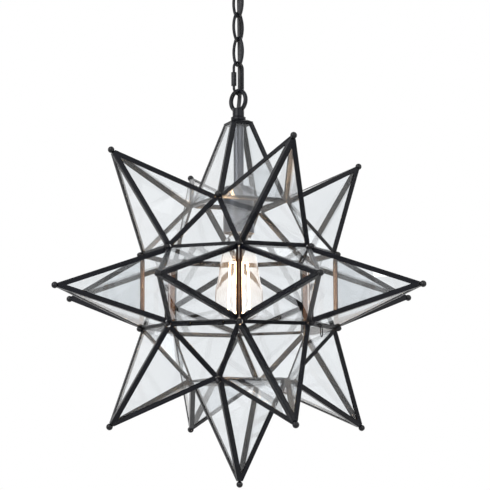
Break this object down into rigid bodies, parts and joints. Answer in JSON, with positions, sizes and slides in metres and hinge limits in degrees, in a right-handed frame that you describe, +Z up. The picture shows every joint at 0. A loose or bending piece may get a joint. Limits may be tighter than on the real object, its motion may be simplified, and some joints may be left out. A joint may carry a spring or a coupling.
{
  "type": "moravian star pendant light",
  "caption": "Moravian star pendant light: clear glass points in dark metal cames round one lamp, with a hinged lower basket, hung by a short chain and cord from a ceiling canopy.",
  "frame": {"origin": "middle of the mounting strap's upper face, on the ceiling plane", "axes": "+Z up out of the ceiling, +X along the mounting strap, -Y towards the basket's hinge"},
  "size_m": [0.5086, 0.5086, 0.7236],
  "materials": {
    "dark_metal": "satin",
    "grey_metal": "satin",
    "pane_glass": "clear",
    "bulb_glass": "clear",
    "filament": "lit, warm white",
    "plated_cap": "nickel plated",
    "brass": "bright",
    "phenolic": "moulded",
    "zinc_steel": "zinc plated",
    "ground_green": "green coated",
    "cord_fabric": "matt sheath"
  },
  "bodies": {
    "ceiling_set": {"mounting_strap": "zinc_steel", "canopy_nipple": "zinc_steel", "nipple_nut": "zinc_steel", "canopy": "dark_metal", "canopy_collar": "dark_metal", "canopy_loop": "dark_metal", "ground_screw": "ground_green", "supply_cord": "cord_fabric"},
    "chain_link_1": {"chain_link_1": "dark_metal"},
    "chain_link_2": {"chain_link_2": "dark_metal"},
    "chain_link_3": {"chain_link_3": "dark_metal"},
    "screw_link": {"screw_link": "dark_metal"},
    "sleeve": {"screw_link_sleeve": "dark_metal"},
    "star": {"hinge_pins": "brass", "lampholder_body": "phenolic", "lampholder_contact": "brass", "lampholder_shell": "brass", "latch_lug": "dark_metal", "loop_collar": "dark_metal", "mid_panes": "pane_glass", "mid_point_1_cames": "dark_metal", "mid_point_2_cames": "dark_metal", "mid_point_3_cames": "dark_metal", "mid_point_4_cames": "dark_metal", "mid_point_5_cames": "dark_metal", "mid_point_6_cames": "dark_metal", "mid_point_7_cames": "dark_metal", "mid_point_8_cames": "dark_metal", "socket_cup": "grey_metal", "star_beads": "dark_metal", "star_cap": "dark_metal", "star_hinge_knuckles": "dark_metal", "star_loop": "dark_metal", "star_tip_balls": "dark_metal", "stem_nipple": "zinc_steel", "stem_nut": "zinc_steel", "stem_sleeve": "grey_metal", "top_point_cames": "dark_metal", "upper_infill_cames": "dark_metal", "upper_panes": "pane_glass", "upper_point_1_cames": "dark_metal", "upper_point_2_cames": "dark_metal", "upper_point_3_cames": "dark_metal", "upper_point_4_cames": "dark_metal"},
    "basket": {"basket_beads": "dark_metal", "basket_hinge_knuckles": "dark_metal", "basket_panes": "pane_glass", "basket_tip_balls": "dark_metal", "bottom_point_cames": "dark_metal", "lower_infill_cames": "dark_metal", "lower_point_1_cames": "dark_metal", "lower_point_2_cames": "dark_metal", "lower_point_3_cames": "dark_metal", "lower_point_4_cames": "dark_metal", "latch_stud": "dark_metal"},
    "latch": {"latch_loop": "dark_metal"},
    "bulb": {"bulb_base": "plated_cap", "bulb_envelope": "bulb_glass", "bulb_filaments": "filament", "bulb_stem": "bulb_glass"}
  },
  "joints": [
    {"name": "link_1_swing", "type": "hinge", "parent": "ceiling_set", "child": "chain_link_1", "pos_m": [0, 0, -0.0681], "axis": [0.3827, 0.9239, 0], "range_deg": [-20, 20], "deforming": ["supply_cord"]},
    {"name": "link_2_swing", "type": "hinge", "parent": "chain_link_1", "child": "chain_link_2", "pos_m": [0, 0, -0.1005], "axis": [0.9239, -0.3827, 0], "range_deg": [-20, 20], "deforming": ["supply_cord"]},
    {"name": "link_3_swing", "type": "hinge", "parent": "chain_link_2", "child": "chain_link_3", "pos_m": [0, 0, -0.1338], "axis": [0.3827, 0.9239, 0], "range_deg": [-20, 20], "deforming": ["supply_cord"]},
    {"name": "screw_link_swing", "type": "hinge", "parent": "chain_link_3", "child": "screw_link", "pos_m": [0, 0, -0.1671], "axis": [0.9239, -0.3827, 0], "range_deg": [-20, 20], "deforming": ["supply_cord"]},
    {"name": "star_swing", "type": "hinge", "parent": "screw_link", "child": "star", "pos_m": [0, 0, -0.20645], "axis": [0.3827, 0.9239, 0], "range_deg": [-20, 20], "deforming": ["supply_cord"]},
    {"name": "sleeve_slide", "type": "slide", "parent": "screw_link", "child": "sleeve", "axis": [0, 0, 1], "range_m": [0, 0.0063]},
    {"name": "basket_hinge", "type": "hinge", "parent": "star", "child": "basket", "pos_m": [0, -0.11733, -0.5179], "axis": [-1, 0, 0], "range_deg": [0, 95]},
    {"name": "latch_hinge", "type": "hinge", "parent": "star", "child": "latch", "pos_m": [0.11985, -0.0156, -0.51903], "axis": [0, -1, 0], "range_deg": [-18, 100]},
    {"name": "bulb_slide", "type": "slide", "parent": "star", "child": "bulb", "axis": [0, 0, 1], "range_m": [-0.03, 0]}
  ]
}
